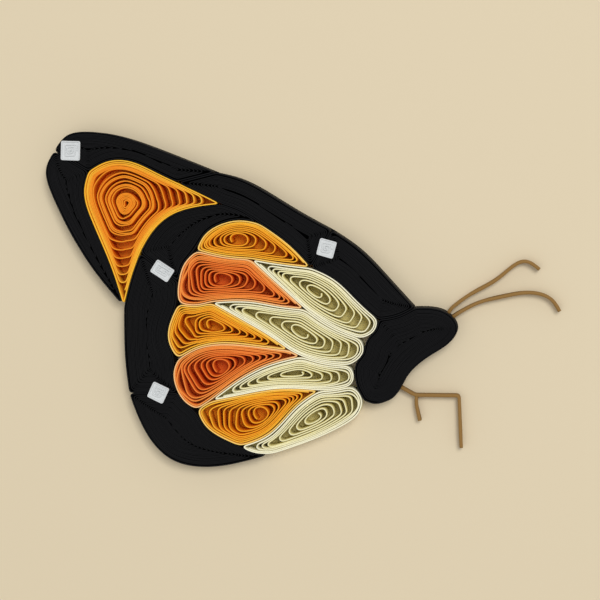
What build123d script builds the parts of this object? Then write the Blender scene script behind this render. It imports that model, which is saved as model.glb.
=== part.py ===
from build123d import *
from collections import namedtuple
import math
import os

import numpy as np

# A quilled paper butterfly, lying flat. Strips of paper stand on edge, each one rolled into a
# coil, pinched to a drop or a crescent and glued to its neighbours. The outlines are drawn on a
# pattern sheet: its origin is under the middle of the body, +X runs towards the antennae and +Y
# towards the fore wing. The underside of every strip is at Z = 0. Lengths are in millimetres.

# Paper
paper = 0.12
strip_width = 2.0
glue_gap = 0.05

# The pattern sheet: its points and the two lengths of a pinch are counted in squares, which are as
# large as the overall length asks. A seam has a corner at least every few squares, and in its bends
overall_length = 42.3
wing_tip = (-30.9, 13.9)
antenna_tip = (11.4, 2.2)
pattern_square = overall_length / (antenna_tip[0] - wing_tip[0])
curve_places = 41
longest_step = 3.2
sharpest_bend = math.radians(34)

# Winding: the free radius left in the middle, and the air between turns at the tightest place
Roll = namedtuple("Roll", "eye air")
loose = Roll(eye=0.4, air=0.03)
slack = Roll(eye=0.4, air=0.09)
tight = Roll(eye=0.12, air=0.05)

# A pinched tip: how many squares the pinch reaches, how far it holds the inner turns back for each
# of them, and how far the glue runs on past the place where the strip parts from itself
short_pinch = 2.4
long_pinch = 3.6
pinch_pull = 0.5
glued_length = 0.5

# White squares on the black edge: two layers of paper
spot_layers = 2

# Antennae and legs: narrow strips of a thicker paper, also on edge
feeler_paper = 0.28
feeler_width = 0.9


def curve_through(*points):
    """Evenly spaced places along a smooth curve through some points of the pattern sheet."""
    with BuildLine() as curve:
        Spline(*[(x * pattern_square, y * pattern_square) for x, y in points])
    found = [curve.edge().position_at(share) for share in np.linspace(0, 1, curve_places)]
    return np.array([(place.X, place.Y) for place in found])


def seam(*points):
    """A curve through points of the pattern sheet, as straight steps that are shorter where it bends."""
    fine = curve_through(*points)
    step = np.diff(fine, axis=0)
    heading = np.unwrap(np.arctan2(step[:, 1], step[:, 0]))
    bend = np.abs(np.diff(heading, append=heading[-1]))
    effort = np.hypot(*step.T) / (longest_step * pattern_square) + bend / sharpest_bend
    run = np.concatenate(([0], np.cumsum(effort)))
    even = np.linspace(0, run[-1], max(1, round(run[-1])) + 1)
    return np.column_stack([np.interp(even, run, fine[:, axis]) for axis in (0, 1)])


def joined(*seams, notches=()):
    """One closed outline, anticlockwise, from seams that meet end to end, either way round.

    It starts at the first end of the first seam. A notch between two neighbours is left out,
    because a strip can't be pressed into it.
    """
    route = [seams[0]]
    for piece in seams[1:]:
        meets = np.allclose(piece[0], route[-1][-1])
        route.append(piece if meets else piece[::-1])
    points = np.vstack([piece[:-1] for piece in route])
    x, y = points.T
    if np.sum(x * np.roll(y, -1) - y * np.roll(x, -1)) < 0:
        points = np.roll(points[::-1], 1, axis=0)
    for notch in notches:
        away = np.linalg.norm(points - np.multiply(notch, pattern_square), axis=1)
        points = points[away > paper]
    return points


def sideways(path, closed=False):
    """At each point of a path, the step to its left that lies one unit from the path on both sides."""
    if closed:
        step = np.diff(np.vstack([path[-1:], path, path[:1]]), axis=0)
    else:
        step = np.diff(path, axis=0)
        step = np.vstack([step[:1], step, step[-1:]])
    step /= np.linalg.norm(step, axis=1)[:, None]
    left = np.column_stack([-step[:, 1], step[:, 0]])
    before, after = left[:-1], left[1:]
    return (before + after) / (1 + np.sum(before * after, axis=1))[:, None]


def ribbon(route):
    """The outline of an antenna or a leg that follows a route."""
    aside = sideways(route) * feeler_paper / 2
    return np.vstack([route + aside, (route - aside)[::-1]])


def seat(place, carrier, clearance):
    """The place nearest to a given one on a carrier's line, moved back towards it by a clearance."""
    start, step = carrier[:-1], np.diff(carrier, axis=0)
    share = np.clip(np.sum((place - start) * step, axis=1) / np.sum(step * step, axis=1), 0, 1)
    touch = start + step * share[:, None]
    touch = touch[np.argmin(np.linalg.norm(place - touch, axis=1))]
    return touch + (place - touch) / np.linalg.norm(place - touch) * clearance


def with_glue(outline):
    """The outline with a point each side of its first one, where the glue at that pinched tip ends."""
    sides = outline[[1, -1]] - outline[0]
    sides /= np.linalg.norm(sides, axis=1)[:, None]
    spread = math.acos(sides[0] @ sides[1])
    reach = (glue_gap / 2 + paper) / math.tan(spread / 2) + glued_length
    ends = outline[0] + sides * reach
    away = np.linalg.norm(outline - outline[0], axis=1)
    rest = outline[away > reach + glued_length]
    return np.vstack([outline[:1], ends[:1], rest, ends[1:]])


def wound(outline, eye, pinches, roll):
    """A coil of paper that fills an outline: its outer edge, and the channel left between its turns.

    The outermost turn is a closed loop. From the glue in the first tip, the strip then runs inwards
    turn by turn, each corner moving evenly from the loop towards the eye, which is a point or a short
    curve. The coil's width away from its pinched tips sets the number of turns. In a tip, the inner
    turns start further in, and they leave out the corners that have no room for them.
    """
    outline = with_glue(outline)
    inwards = sideways(outline, closed=True)
    outer = outline + inwards * glue_gap / 2
    lining = outline + inwards * (glue_gap / 2 + paper)
    middle = outline + inwards * (glue_gap + paper) / 2

    spine = curve_through(*eye) if len(eye) > 1 else np.multiply(eye, pattern_square)
    reach = middle[:, None] - spine[None]
    foot = spine[np.argmin(np.linalg.norm(reach, axis=2), axis=1)]
    radius = np.linalg.norm(middle - foot, axis=1)
    outwards = (middle - foot) / radius[:, None]
    pinched = np.zeros(len(outline), bool)
    for tip, length in pinches.items():
        away = np.linalg.norm(outline / pattern_square - tip, axis=1)
        radius -= pinch_pull * pattern_square * np.maximum(0, length - away)
        pinched |= away < length
    depth = radius - roll.eye

    inner = foot + outwards * radius[:, None]
    step = np.roll(inner, -1, axis=0) - inner
    step /= np.linalg.norm(step, axis=1)[:, None]
    room = depth * np.abs(outwards[:, 0] * step[:, 1] - outwards[:, 1] * step[:, 0])
    turns = int(np.min(room[~pinched]) / (paper + roll.air))

    roomy = np.flatnonzero(~pinched | (room > turns * (paper + roll.air)))
    roomy = roomy[roomy > 1]
    corner = np.tile(roomy, turns - 1)
    turn = np.repeat(np.arange(1, turns), len(roomy))
    share = 1 - (turn + corner / len(outline)) / turns
    path = foot[corner] + outwards[corner] * (roll.eye + share * depth[corner])[:, None]
    path = np.vstack([(lining[1] + lining[-1]) / 2, path])
    aside = sideways(path) * paper / 2
    aside /= np.maximum(1, np.linalg.norm(aside, axis=1) / paper)[:, None]
    channel = np.vstack([lining[1:], path + aside, (path - aside)[::-1]])
    return outer, channel, turns


# Places where three coils meet, or where a wing begins or ends
wing_foot = (-24.4, 2.4)
cell_tip = (-16.2, 10.9)
crown_outer = (-30.2, 15.3)
crown_inner = (-27.3, 13.6)
crown_end = (-16.6, 13.5)
shoulder_start = (-19.9, 12.7)
shoulder_outer = (-7.1, 8.8)
shoulder_inner = (-8.8, 5.7)
neck = (-0.3, 2.5)
armpit = (-3.3, 1.5)
margin_start = (-13.0, 9.3)
margin_outer = (-23.0, 6.9)
margin_inner = (-19.8, 4.5)
skirt_outer = (-24.0, -4.8)
skirt_inner = (-19.9, -4.7)
skirt_end = (-12.0, -9.7)
notch_1 = (-18.3, 7.1)
notch_2 = (-19.8, 2.7)
notch_3 = (-19.9, -1.9)
notch_4 = (-18.3, -6.1)
notch_5 = (-14.7, -9.1)
cream_1_tip = (-13.8, 6.4)
cream_2_tip = (-17.1, 2.8)
cream_3_tip = (-17.2, -5.4)
orange_2_tip = (-9.3, 2.3)
orange_3_tip = (-10.6, -1.1)
orange_4_tip = (-9.6, -1.6)
orange_5_tip = (-8.1, -4.4)
root_1 = (-4.7, -0.1)
root_2 = (-5.6, -2.3)
root_3 = (-5.5, -4.0)
root_4 = (-4.5, -5.2)
tail = (-3.5, -5.5)

# Seams of the fore wing
cell_left = seam(wing_foot, (-25.4, 5.5), (-27.1, 9.6), (-27.7, 12.0), crown_inner)
cell_top = seam(crown_inner, (-25.8, 14.4), (-24.1, 14.5), (-21.6, 13.5), shoulder_start)
cell_shoulder = seam(shoulder_start, (-17.8, 11.7), cell_tip)
cell_hollow = seam(cell_tip, (-18.5, 10.6), (-20.5, 9.9), (-22.1, 8.4), margin_outer)
cell_heel = seam(margin_outer, (-23.7, 5.0), wing_foot)
side_edge = seam(crown_outer, wing_tip, (-30.4, 11.6), (-28.9, 8.5), (-26.4, 4.7), wing_foot)
crown_edge = seam(crown_outer, (-29.1, 16.6), (-27.6, 16.9), (-25.1, 16.6), (-21.4, 15.4), crown_end)
crown_joint = seam(crown_outer, crown_inner)
crown_seam = seam(crown_end, shoulder_start)
shoulder_edge = seam(crown_end, (-14.7, 13.0), (-12.5, 11.9), (-10.2, 10.5), shoulder_outer)
shoulder_joint = seam(shoulder_outer, shoulder_inner)
shoulder_under = seam(cell_tip, (-14.6, 10.3), margin_start)
arm_edge = seam(shoulder_outer, (-4.9, 7.3), (-2.6, 5.0), neck)
arm_under = seam(shoulder_inner, (-6.8, 4.7), (-5.0, 3.0), armpit)
arm_joint = seam(armpit, (-1.7, 1.8), neck)

# Seams of the black edge of the hind wing
margin_joint = seam(margin_outer, margin_inner)
back_edge = seam(wing_foot, (-24.4, 0.1), (-24.3, -2.2), skirt_outer)
skirt_joint = seam(skirt_outer, skirt_inner)
skirt_edge = seam(skirt_outer, (-22.2, -8.7), (-20.8, -10.1), (-17.6, -10.9), (-14.4, -10.4), skirt_end)
skirt_seam = seam(notch_5, (-13.7, -9.6), skirt_end)

# Seams of the orange coils
orange_1_top = seam(notch_1, (-17.7, 8.3), (-16.2, 9.3), (-14.4, 9.6), margin_start)
orange_1_end = seam(margin_start, (-10.4, 7.4), shoulder_inner)
orange_1_2 = seam(notch_1, (-16.2, 6.6), cream_1_tip)
orange_1_cream_1 = seam(cream_1_tip, (-11.4, 6.0), shoulder_inner)
orange_2_left = seam(notch_1, (-19.4, 5.9), margin_inner)
orange_2_heel = seam(margin_inner, (-19.9, 3.5), notch_2)
orange_2_cream_1 = seam(cream_1_tip, (-11.4, 4.2), orange_2_tip)
orange_2_3 = seam(notch_2, (-18.4, 2.5), cream_2_tip)
orange_2_cream_2 = seam(cream_2_tip, (-13.8, 2.9), (-11.4, 2.5), orange_2_tip)
orange_3_left = seam(notch_2, (-20.5, 1.2), (-20.7, -0.4), notch_3)
orange_3_cream_2 = seam(cream_2_tip, (-14.4, 1.3), (-12.0, -0.1), orange_3_tip)
orange_3_4 = seam(notch_3, (-18.3, -1.0), (-16.1, -0.6), (-13.3, -0.8), orange_3_tip)
orange_4_left = seam(notch_3, (-20.3, -3.1), skirt_inner)
orange_4_heel = seam(skirt_inner, (-19.2, -5.6), notch_4)
orange_4_cream_2 = seam(orange_3_tip, orange_4_tip)
orange_4_cream_3 = seam(cream_3_tip, (-15.2, -3.9), (-12.5, -2.4), orange_4_tip)
orange_4_5 = seam(notch_4, cream_3_tip)
orange_5_left = seam(notch_4, (-17.6, -7.5), (-16.3, -8.4), notch_5)
orange_5_cream_3 = seam(cream_3_tip, (-14.4, -4.8), (-11.4, -4.3), orange_5_tip)
orange_5_cream_4 = seam(notch_5, (-12.3, -8.1), (-10.8, -6.6), (-9.5, -5.3), orange_5_tip)

# Seams of the cream coils and the body
cream_1_2 = seam(orange_2_tip, (-7.2, 0.9), root_1)
cream_2_3 = seam(orange_4_tip, (-7.8, -2.1), root_2)
cream_3_4 = seam(orange_5_tip, (-6.8, -4.3), root_3)
cream_1_end = seam(armpit, (-3.5, 0.6), root_1)
cream_2_end = seam(root_1, (-4.4, -1.0), root_2)
cream_3_end = seam(root_2, (-5.2, -3.2), root_3)
cream_4_top = seam(root_3, (-4.8, -4.5), root_4)
cream_4_edge = seam(root_4, (-4.7, -6.0), (-6.2, -7.3), (-8.9, -8.6), skirt_end)
tail_seam = seam(root_4, tail)
belly_edge = seam(tail, (-2.0, -4.9), (-0.9, -3.2), (1.2, -1.3), (2.5, -0.4), (3.2, 0.8), (2.6, 1.9), neck)

# Every coil: its outline from a pinched tip onwards, its eye, its pinched tips and how it is rolled
Coil = namedtuple("Coil", "outline eye pinches roll")

coils = {
    "forewing_cell_coil": Coil(
        joined(cell_heel[::-1], cell_hollow, cell_shoulder, cell_top, cell_left),
        [(-23.8, 11.2)],
        {wing_foot: short_pinch, cell_tip: short_pinch},
        slack,
    ),
    "hindwing_orange_coil_1": Coil(
        joined(orange_1_end[::-1], orange_1_top, orange_1_2, orange_1_cream_1),
        [(-14.7, 8.0)],
        {shoulder_inner: short_pinch, notch_1: short_pinch},
        loose,
    ),
    "hindwing_orange_coil_2": Coil(
        joined(
            orange_2_cream_1[::-1], orange_1_2, orange_2_left, orange_2_heel, orange_2_3, orange_2_cream_2
        ),
        [(-16.4, 4.9), (-14.4, 4.5)],
        {orange_2_tip: short_pinch},
        loose,
    ),
    "hindwing_orange_coil_3": Coil(
        joined(orange_3_cream_2[::-1], orange_2_3, orange_3_left, orange_3_4),
        [(-17.4, 1.1), (-16.1, 0.8)],
        {orange_3_tip: short_pinch},
        loose,
    ),
    "hindwing_orange_coil_4": Coil(
        joined(
            orange_4_cream_2[::-1], orange_3_4, orange_4_left, orange_4_heel, orange_4_5, orange_4_cream_3
        ),
        [(-16.8, -2.4)],
        {orange_4_tip: short_pinch},
        loose,
    ),
    "hindwing_orange_coil_5": Coil(
        joined(orange_5_cream_3[::-1], orange_4_5, orange_5_left, orange_5_cream_4),
        [(-12.9, -6.2)],
        {orange_5_tip: short_pinch},
        loose,
    ),
    "hindwing_cream_coil_1": Coil(
        joined(orange_2_cream_1, cream_1_2, cream_1_end, arm_under, orange_1_cream_1),
        [(-8.4, 3.5)],
        {cream_1_tip: short_pinch},
        loose,
    ),
    "hindwing_cream_coil_2": Coil(
        joined(orange_3_cream_2, orange_4_cream_2, cream_2_3, cream_2_end, cream_1_2, orange_2_cream_2),
        [(-9.8, 0.4)],
        {cream_2_tip: short_pinch},
        loose,
    ),
    "hindwing_cream_coil_3": Coil(
        joined(orange_5_cream_3, cream_3_4, cream_3_end, cream_2_3, orange_4_cream_3),
        [(-10.2, -3.0)],
        {cream_3_tip: short_pinch},
        loose,
    ),
    "hindwing_cream_coil_4": Coil(
        joined(skirt_seam, cream_4_edge, cream_4_top, cream_3_4, orange_5_cream_4),
        [(-8.8, -7.0)],
        {notch_5: short_pinch},
        loose,
    ),
    "forewing_top_coil": Coil(
        joined(crown_seam, cell_top, crown_joint, crown_edge),
        [(-27.7, 15.4), (-24.9, 15.6), (-20.9, 14.2)],
        {crown_end: short_pinch},
        tight,
    ),
    "forewing_side_coil": Coil(
        joined(cell_left, crown_joint, side_edge),
        [(-29.1, 13.0), (-28.8, 10.4), (-27.3, 7.6)],
        {wing_foot: short_pinch},
        tight,
    ),
    "costal_coil_outer": Coil(
        joined(crown_seam[::-1], shoulder_edge, shoulder_joint, orange_1_end, shoulder_under, cell_shoulder),
        [(-16.0, 12.0), (-12.3, 10.3), (-9.9, 8.6)],
        {shoulder_start: short_pinch},
        tight,
    ),
    "costal_coil_inner": Coil(
        joined(shoulder_joint, arm_under, arm_joint, arm_edge),
        [(-6.6, 6.4), (-4.4, 4.7), (-2.4, 3.0)],
        {},
        tight,
    ),
    "margin_coil_upper": Coil(
        joined(
            shoulder_under[::-1], cell_hollow, margin_joint, orange_2_left, orange_1_top,
            notches=[notch_1],
        ),
        [(-17.2, 10.0), (-19.2, 8.8), (-20.8, 6.8)],
        {margin_start: short_pinch},
        tight,
    ),
    "margin_coil_middle": Coil(
        joined(
            back_edge[::-1], cell_heel, margin_joint, orange_2_heel, orange_3_left, orange_4_left,
            skirt_joint,
            notches=[notch_2, notch_3],
        ),
        [(-22.1, 3.9), (-22.5, 1.2), (-22.3, -2.0)],
        {},
        tight,
    ),
    "margin_coil_lower": Coil(
        joined(skirt_seam[::-1], orange_5_left, orange_4_heel, skirt_joint, skirt_edge, notches=[notch_4]),
        [(-21.6, -6.1), (-19.1, -8.4), (-17.0, -9.6)],
        {skirt_end: long_pinch},
        tight,
    ),
    "body_coil": Coil(
        joined(
            belly_edge, arm_joint, cream_1_end, cream_2_end, cream_3_end, cream_4_top, tail_seam,
            notches=[root_1, root_2, root_3],
        ),
        [(-2.2, -2.6), (-1.4, -0.8), (1.3, 0.9)],
        {tail: short_pinch},
        tight,
    ),
}

# White squares on the black edge: middle, length, width and turn in degrees
Spot = namedtuple("Spot", "x y length width turn")

spots = [
    Spot(-28.75, 15.3, 1.6, 1.6, -2),
    Spot(-7.5, 7.3, 1.4, 1.4, -15),
    Spot(-21.1, 5.4, 1.7, 1.2, -33),
    Spot(-21.5, -4.7, 1.45, 1.4, -25),
]

# Antennae and legs, from the free end of each to a place near its seat on the body or on a leg
antenna_upper_line = [(9.8, 5.6), (8.6, 6.3), (6.5, 5.2), (4.0, 3.7), (2.9, 2.8)]
antenna_lower_line = [antenna_tip, (10.8, 3.1), (8.9, 3.7), (6.9, 3.4), (4.7, 2.8), (3.5, 2.2)]
leg_front_line = [(3.5, -9.1), (3.3, -4.8), (-0.3, -4.8)]
leg_rear_line = [(0.1, -6.9), (-0.2, -5.6)]


def slab(outline, height, *holes):
    """A flat piece of a given height that stands on the pattern sheet."""
    with BuildPart() as piece:
        with BuildSketch():
            for shape in (outline, *holes):
                with BuildLine():
                    Polyline(*map(tuple, shape), close=True)
                make_face(mode=Mode.ADD if shape is outline else Mode.SUBTRACT)
        extrude(amount=height)
    return piece


def save(piece, name):
    """Names a piece and writes it."""
    piece.part.label = name
    export_step(piece.part, f"parts/{name}.step")


os.makedirs("parts", exist_ok=True)

for name, design in coils.items():
    outer, channel, turns = wound(*design)
    save(slab(outer, strip_width, channel), name)
    print(name, turns, "turns,", len(outer) + len(channel), "corners")

for number, (x, y, length, width, turn) in enumerate(spots, start=1):
    top = Plane((x * pattern_square, y * pattern_square, strip_width)).rotated((0, 0, turn))
    with BuildPart() as spot:
        with BuildSketch(top):
            Rectangle(length * pattern_square, width * pattern_square)
        extrude(amount=spot_layers * paper)
    save(spot, f"white_spot_{number}")

body_edge = coils["body_coil"].outline
body_edge = np.vstack([body_edge, body_edge[:1]])
antenna_upper_route = seam(*antenna_upper_line)
antenna_lower_route = seam(*antenna_lower_line)
leg_front_route = np.multiply(leg_front_line, pattern_square)
leg_rear_route = np.multiply(leg_rear_line, pattern_square)

for name, route, carrier, clearance in (
    ("antenna_upper", antenna_upper_route, body_edge, glue_gap / 2),
    ("antenna_lower", antenna_lower_route, body_edge, glue_gap / 2),
    ("leg_front", leg_front_route, body_edge, glue_gap / 2),
    ("leg_rear", leg_rear_route, leg_front_route, glue_gap + feeler_paper / 2),
):
    route = np.vstack([route, seat(route[-1], carrier, clearance)])
    save(slab(ribbon(route), feeler_width), name)
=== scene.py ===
# %% [markdown]
# # A quilled paper butterfly
# Quilling is paper craft on edge: a narrow strip is rolled into a coil, the coil is pinched to a
# drop or a crescent, and the coils are glued side by side. From above, only the cut edges of the
# strips show, as fine bright lines with shadow between them. This lesson winds every coil of a
# butterfly as a real strip, because a picture of the lines on a flat wing would have no depth.

import math

import bpy
import numpy as np
from mathutils import Matrix, Vector


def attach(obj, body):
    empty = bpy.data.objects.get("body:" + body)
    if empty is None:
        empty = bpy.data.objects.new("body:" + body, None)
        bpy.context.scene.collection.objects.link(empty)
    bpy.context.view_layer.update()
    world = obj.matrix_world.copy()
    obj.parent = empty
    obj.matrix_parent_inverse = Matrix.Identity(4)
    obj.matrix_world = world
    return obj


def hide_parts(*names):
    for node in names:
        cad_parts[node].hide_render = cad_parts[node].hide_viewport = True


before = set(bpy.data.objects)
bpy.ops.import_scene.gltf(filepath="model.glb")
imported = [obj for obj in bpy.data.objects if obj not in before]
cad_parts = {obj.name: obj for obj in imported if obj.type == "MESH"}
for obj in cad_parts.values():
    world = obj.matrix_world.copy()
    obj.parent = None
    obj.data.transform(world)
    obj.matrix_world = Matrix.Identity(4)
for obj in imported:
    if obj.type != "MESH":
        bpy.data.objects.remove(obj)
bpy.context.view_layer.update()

# %% [markdown]
# ## Paper sizes
# Work in millimetres and turn to metres once, when a mesh is made. Quilling strips are sold 2 to 3 mm
# wide, and the paper is about a tenth of a millimetre thick. A wound layer takes a hair more, because a
# little air stays between the turns. The outer turn's middle lies half a sheet and half a line of glue
# inside a coil's outline.

# %% Paper sizes, in millimetres
paper = 0.1
strip_width = 2.0
glue_gap = 0.05
layer = 0.103
feeler_paper = 0.28
feeler_width = 0.9
square_height = 0.24
outset = (glue_gap + paper) / 2
print("turns in a millimetre of a pressed coil:", round(1 / layer, 1))

# %% [markdown]
# ## Smooth lines
# A strip bends in one fair curve between the places where it is held. A natural cubic spline does
# the same: it goes through every point, and its bending is least. A subdivided polygon would be
# another way, but it cuts inside its corners.


# %% Fair curves through points
def lengths(vectors):
    """The length of each vector: the root of the sum of its squared parts."""
    return np.linalg.norm(vectors, axis=-1)


def unit(vectors):
    """Each vector divided by its length."""
    return vectors / lengths(vectors)[:, None]


def run_along(path):
    """The length walked up to each place: the running sum of the steps between places."""
    return np.concatenate(([0], np.cumsum(lengths(np.diff(path, axis=0)))))


def curve(*points, step=0.2):
    """A natural cubic spline through some points, as places about one step apart.

    Between two points the place is their weighted mean, plus the cubic of each weight times the
    second derivative there. Those derivatives solve one linear system, and are nil at both ends.
    """
    points = np.array(points, float)
    knots = run_along(points)
    span = np.diff(knots)
    count = len(points)
    system = np.eye(count)
    wanted = np.zeros((count, 2))
    inner = np.arange(1, count - 1)
    system[inner, inner - 1] = span[:-1]
    system[inner, inner] = 2 * (span[:-1] + span[1:])
    system[inner, inner + 1] = span[1:]
    slope = np.diff(points, axis=0) / span[:, None]
    wanted[1:-1] = 6 * np.diff(slope, axis=0)
    bend = np.linalg.solve(system, wanted)
    places = np.linspace(0, knots[-1], max(2, round(knots[-1] / step) + 1))
    left = np.clip(np.searchsorted(knots, places, side="right") - 1, 0, count - 2)
    after = ((places - knots[left]) / span[left])[:, None]
    before = 1 - after
    pull = (before**3 - before) * bend[left] + (after**3 - after) * bend[left + 1]
    return before * points[left] + after * points[left + 1] + pull * span[left][:, None] ** 2 / 6


print("a spline through three points has", len(curve((0, 0), (3, 1), (6, 0))), "places")

# %% [markdown]
# A path is often needed in equal steps, or a little softer than it was drawn. Blender's own curves can
# do both, but they would have to be made, converted and read back.


# %% Equal steps and soft bends
def read_off(walk, run, path):
    """Every column of a path, interpolated at some lengths of its run."""
    return np.column_stack([np.interp(walk, run, column) for column in path.T])


def evenly(path, step):
    """A path walked in equal steps: its columns are read off at evenly spaced lengths."""
    run = run_along(path)
    return read_off(np.linspace(0, run[-1], max(2, round(run[-1] / step) + 1)), run, path)


def soften(path, reach, closed=False):
    """Each place replaced by the mean of its neighbours, weighted by a bell of that many steps."""
    bell = np.hanning(2 * reach + 3)[1:-1]
    bell /= bell.sum()
    mode = "wrap" if closed else "edge"
    padded = np.pad(path, ((reach, reach), (0, 0)), mode=mode)
    return np.column_stack([np.convolve(column, bell, mode="valid") for column in padded.T])


# %% [markdown]
# ## The pattern
# A quiller works on a pattern pinned to a board, and every coil is pressed against its neighbours, so
# two coils share each seam. Seams that meet end to end make the outline of one coil, and changing a
# seam changes the coils on both sides of it.

# %% Places where coils meet
wing_foot = (-24.4, 2.4)
cell_tip = (-16.2, 10.9)
wing_tip = (-30.9, 13.9)
crown_outer = (-30.2, 15.3)
crown_inner = (-27.3, 13.6)
crown_end = (-16.6, 13.5)
shoulder_start = (-19.9, 12.7)
shoulder_outer = (-7.1, 8.8)
shoulder_inner = (-8.8, 5.7)
neck = (-0.3, 2.5)
armpit = (-3.3, 1.5)
margin_start = (-13.0, 9.3)
margin_outer = (-23.0, 6.9)
margin_inner = (-19.8, 4.5)
skirt_outer = (-24.0, -4.8)
skirt_inner = (-19.9, -4.7)
skirt_end = (-12.0, -9.7)
notch_1 = (-18.3, 7.1)
notch_2 = (-19.8, 2.7)
notch_3 = (-19.9, -1.9)
notch_4 = (-18.3, -6.1)
notch_5 = (-14.7, -9.1)
cream_1_tip = (-13.8, 6.4)
cream_2_tip = (-17.1, 2.8)
cream_3_tip = (-17.2, -5.4)
orange_2_tip = (-9.3, 2.3)
orange_3_tip = (-10.6, -1.1)
orange_4_tip = (-9.6, -1.6)
orange_5_tip = (-8.1, -4.4)
root_1 = (-4.7, -0.1)
root_2 = (-5.6, -2.3)
root_3 = (-5.5, -4.0)
root_4 = (-4.5, -5.2)
tail = (-3.5, -5.5)
print("wing tip to neck in mm:", round(math.dist(wing_tip, neck), 1))

# %% [markdown]
# The fore wing is one large drop with two horns, held by a black edge of four coils. Two to seven
# places are enough for a seam, because the spline bends between them as a springy strip does.

# %% Seams of the fore wing
cell_left = curve(wing_foot, (-25.4, 5.5), (-27.1, 9.6), (-27.7, 12.0), crown_inner)
cell_top = curve(crown_inner, (-25.8, 14.4), (-24.1, 14.5), (-21.6, 13.5), shoulder_start)
cell_shoulder = curve(shoulder_start, (-17.8, 11.7), cell_tip)
cell_hollow = curve(cell_tip, (-18.5, 10.6), (-20.5, 9.9), (-22.1, 8.4), margin_outer)
cell_heel = curve(margin_outer, (-23.7, 5.0), wing_foot)
side_edge = curve(crown_outer, wing_tip, (-30.4, 11.6), (-28.9, 8.5), (-26.4, 4.7), wing_foot)
crown_edge = curve(crown_outer, (-29.1, 16.6), (-27.6, 16.9), (-25.1, 16.6), (-21.4, 15.4), crown_end)
crown_joint = curve(crown_outer, crown_inner)
crown_seam = curve(crown_end, shoulder_start)
shoulder_edge = curve(crown_end, (-14.7, 13.0), (-12.5, 11.9), (-10.2, 10.5), shoulder_outer)
shoulder_joint = curve(shoulder_outer, shoulder_inner)
shoulder_under = curve(cell_tip, (-14.6, 10.3), margin_start)
arm_edge = curve(shoulder_outer, (-4.9, 7.3), (-2.6, 5.0), neck)
arm_under = curve(shoulder_inner, (-6.8, 4.7), (-5.0, 3.0), armpit)
arm_joint = curve(armpit, (-1.7, 1.8), neck)
print("the fore wing's outer side is", round(run_along(side_edge)[-1], 1), "mm long")

# %% [markdown]
# Three black crescents lie end to end round the hind wing. Their inner sides are the outer ends of the
# orange petals, so only the joints between the three and the outer line are drawn here.

# %% Seams of the black edge of the hind wing
margin_joint = curve(margin_outer, margin_inner)
back_edge = curve(wing_foot, (-24.4, 0.1), (-24.3, -2.2), skirt_outer)
skirt_joint = curve(skirt_outer, skirt_inner)
skirt_edge = curve(skirt_outer, (-22.2, -8.7), (-20.8, -10.1), (-17.6, -10.9), (-14.4, -10.4), skirt_end)
skirt_seam = curve(notch_5, (-13.7, -9.6), skirt_end)
print("the black edge is", round(run_along(margin_joint)[-1], 1), "mm wide where two crescents meet")

# %% [markdown]
# Nine petals fan out from the body in an orange row and a cream row. A seam is named after the two
# petals that it parts. Each petal could have an outline of its own, but then a gap or an overlap would
# creep in between two of them with every change.

# %% Seams of the orange coils
orange_1_top = curve(notch_1, (-17.7, 8.3), (-16.2, 9.3), (-14.4, 9.6), margin_start)
orange_1_end = curve(margin_start, (-10.4, 7.4), shoulder_inner)
orange_1_2 = curve(notch_1, (-16.2, 6.6), cream_1_tip)
orange_1_cream_1 = curve(cream_1_tip, (-11.4, 6.0), shoulder_inner)
orange_2_left = curve(notch_1, (-19.4, 5.9), margin_inner)
orange_2_heel = curve(margin_inner, (-19.9, 3.5), notch_2)
orange_2_cream_1 = curve(cream_1_tip, (-11.4, 4.2), orange_2_tip)
orange_2_3 = curve(notch_2, (-18.4, 2.5), cream_2_tip)
orange_2_cream_2 = curve(cream_2_tip, (-13.8, 2.9), (-11.4, 2.5), orange_2_tip)
orange_3_left = curve(notch_2, (-20.5, 1.2), (-20.7, -0.4), notch_3)
orange_3_cream_2 = curve(cream_2_tip, (-14.4, 1.3), (-12.0, -0.1), orange_3_tip)
orange_3_4 = curve(notch_3, (-18.3, -1.0), (-16.1, -0.6), (-13.3, -0.8), orange_3_tip)
orange_4_left = curve(notch_3, (-20.3, -3.1), skirt_inner)
orange_4_heel = curve(skirt_inner, (-19.2, -5.6), notch_4)
orange_4_cream_2 = curve(orange_3_tip, orange_4_tip)
orange_4_cream_3 = curve(cream_3_tip, (-15.2, -3.9), (-12.5, -2.4), orange_4_tip)
orange_4_5 = curve(notch_4, cream_3_tip)
orange_5_left = curve(notch_4, (-17.6, -7.5), (-16.3, -8.4), notch_5)
orange_5_cream_3 = curve(cream_3_tip, (-14.4, -4.8), (-11.4, -4.3), orange_5_tip)
orange_5_cream_4 = curve(notch_5, (-12.3, -8.1), (-10.8, -6.6), (-9.5, -5.3), orange_5_tip)
print("the lowest orange petal is", round(math.dist(notch_5, orange_5_tip), 1), "mm long")

# %% [markdown]
# The cream petals end side by side in four rounded roots, and the body coil is pressed up against
# them. Its own free side is the belly, which swells to a rounded head.

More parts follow.
